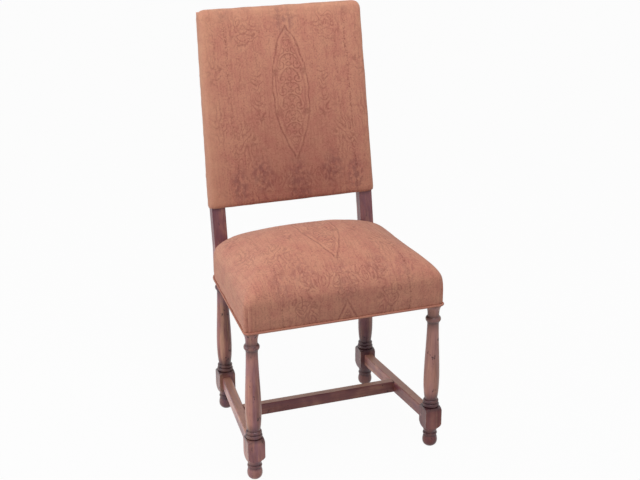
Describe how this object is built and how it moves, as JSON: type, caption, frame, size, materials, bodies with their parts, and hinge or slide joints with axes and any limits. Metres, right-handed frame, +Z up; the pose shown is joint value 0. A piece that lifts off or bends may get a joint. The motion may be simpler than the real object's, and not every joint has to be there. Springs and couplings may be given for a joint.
{
  "type": "side chair",
  "caption": "Upholstered side chair in period style: turned baluster legs, H-shaped stretcher, raked back posts, domed seat and padded rectangular back panel.",
  "frame": {"origin": "on the floor, at the middle of the chair's overall width and depth", "axes": "+Z up, -Y the way a sitter faces, +X to the right as seen from the front"},
  "size_m": [0.5524, 0.5646, 1.141],
  "materials": {
    "walnut": "reddish brown stain, waxed, darker in the turned recesses, light wear",
    "frame_beech": "unfinished",
    "rose_damask": "woven tone-on-tone damask, salmon rose",
    "jute_webbing": "coarse twill",
    "hessian": "open plain weave",
    "stuffing": "matted fibre",
    "black_cambric": "thin cloth",
    "steel": "plain"
  },
  "bodies": {
    "root": {"front_leg_right": "walnut", "front_leg_left": "walnut", "rear_leg_right": "walnut", "rear_leg_left": "walnut", "side_stretcher_right": "walnut", "side_stretcher_left": "walnut", "medial_stretcher": "walnut", "stretcher_pegs": "walnut", "front_seat_rail": "frame_beech", "rear_seat_rail": "frame_beech", "side_seat_rail_right": "frame_beech", "side_seat_rail_left": "frame_beech", "seat_rail_pegs": "frame_beech", "back_top_rail": "frame_beech", "back_bottom_rail": "frame_beech", "front_corner_block_right": "frame_beech", "front_corner_block_left": "frame_beech", "rear_corner_block_right": "frame_beech", "rear_corner_block_left": "frame_beech", "seat_cover": "rose_damask", "seat_welt": "rose_damask", "back_cover": "rose_damask", "outside_back_panel": "rose_damask", "seat_webbing_lengthwise": "jute_webbing", "seat_webbing_crosswise": "jute_webbing", "back_webbing_upright": "jute_webbing", "back_webbing_crosswise": "jute_webbing", "seat_hessian": "hessian", "back_hessian": "hessian", "seat_padding": "stuffing", "back_padding": "stuffing", "dust_cover": "black_cambric", "corner_block_screws": "steel", "dust_cover_tacks": "steel"}
  },
  "joints": []
}
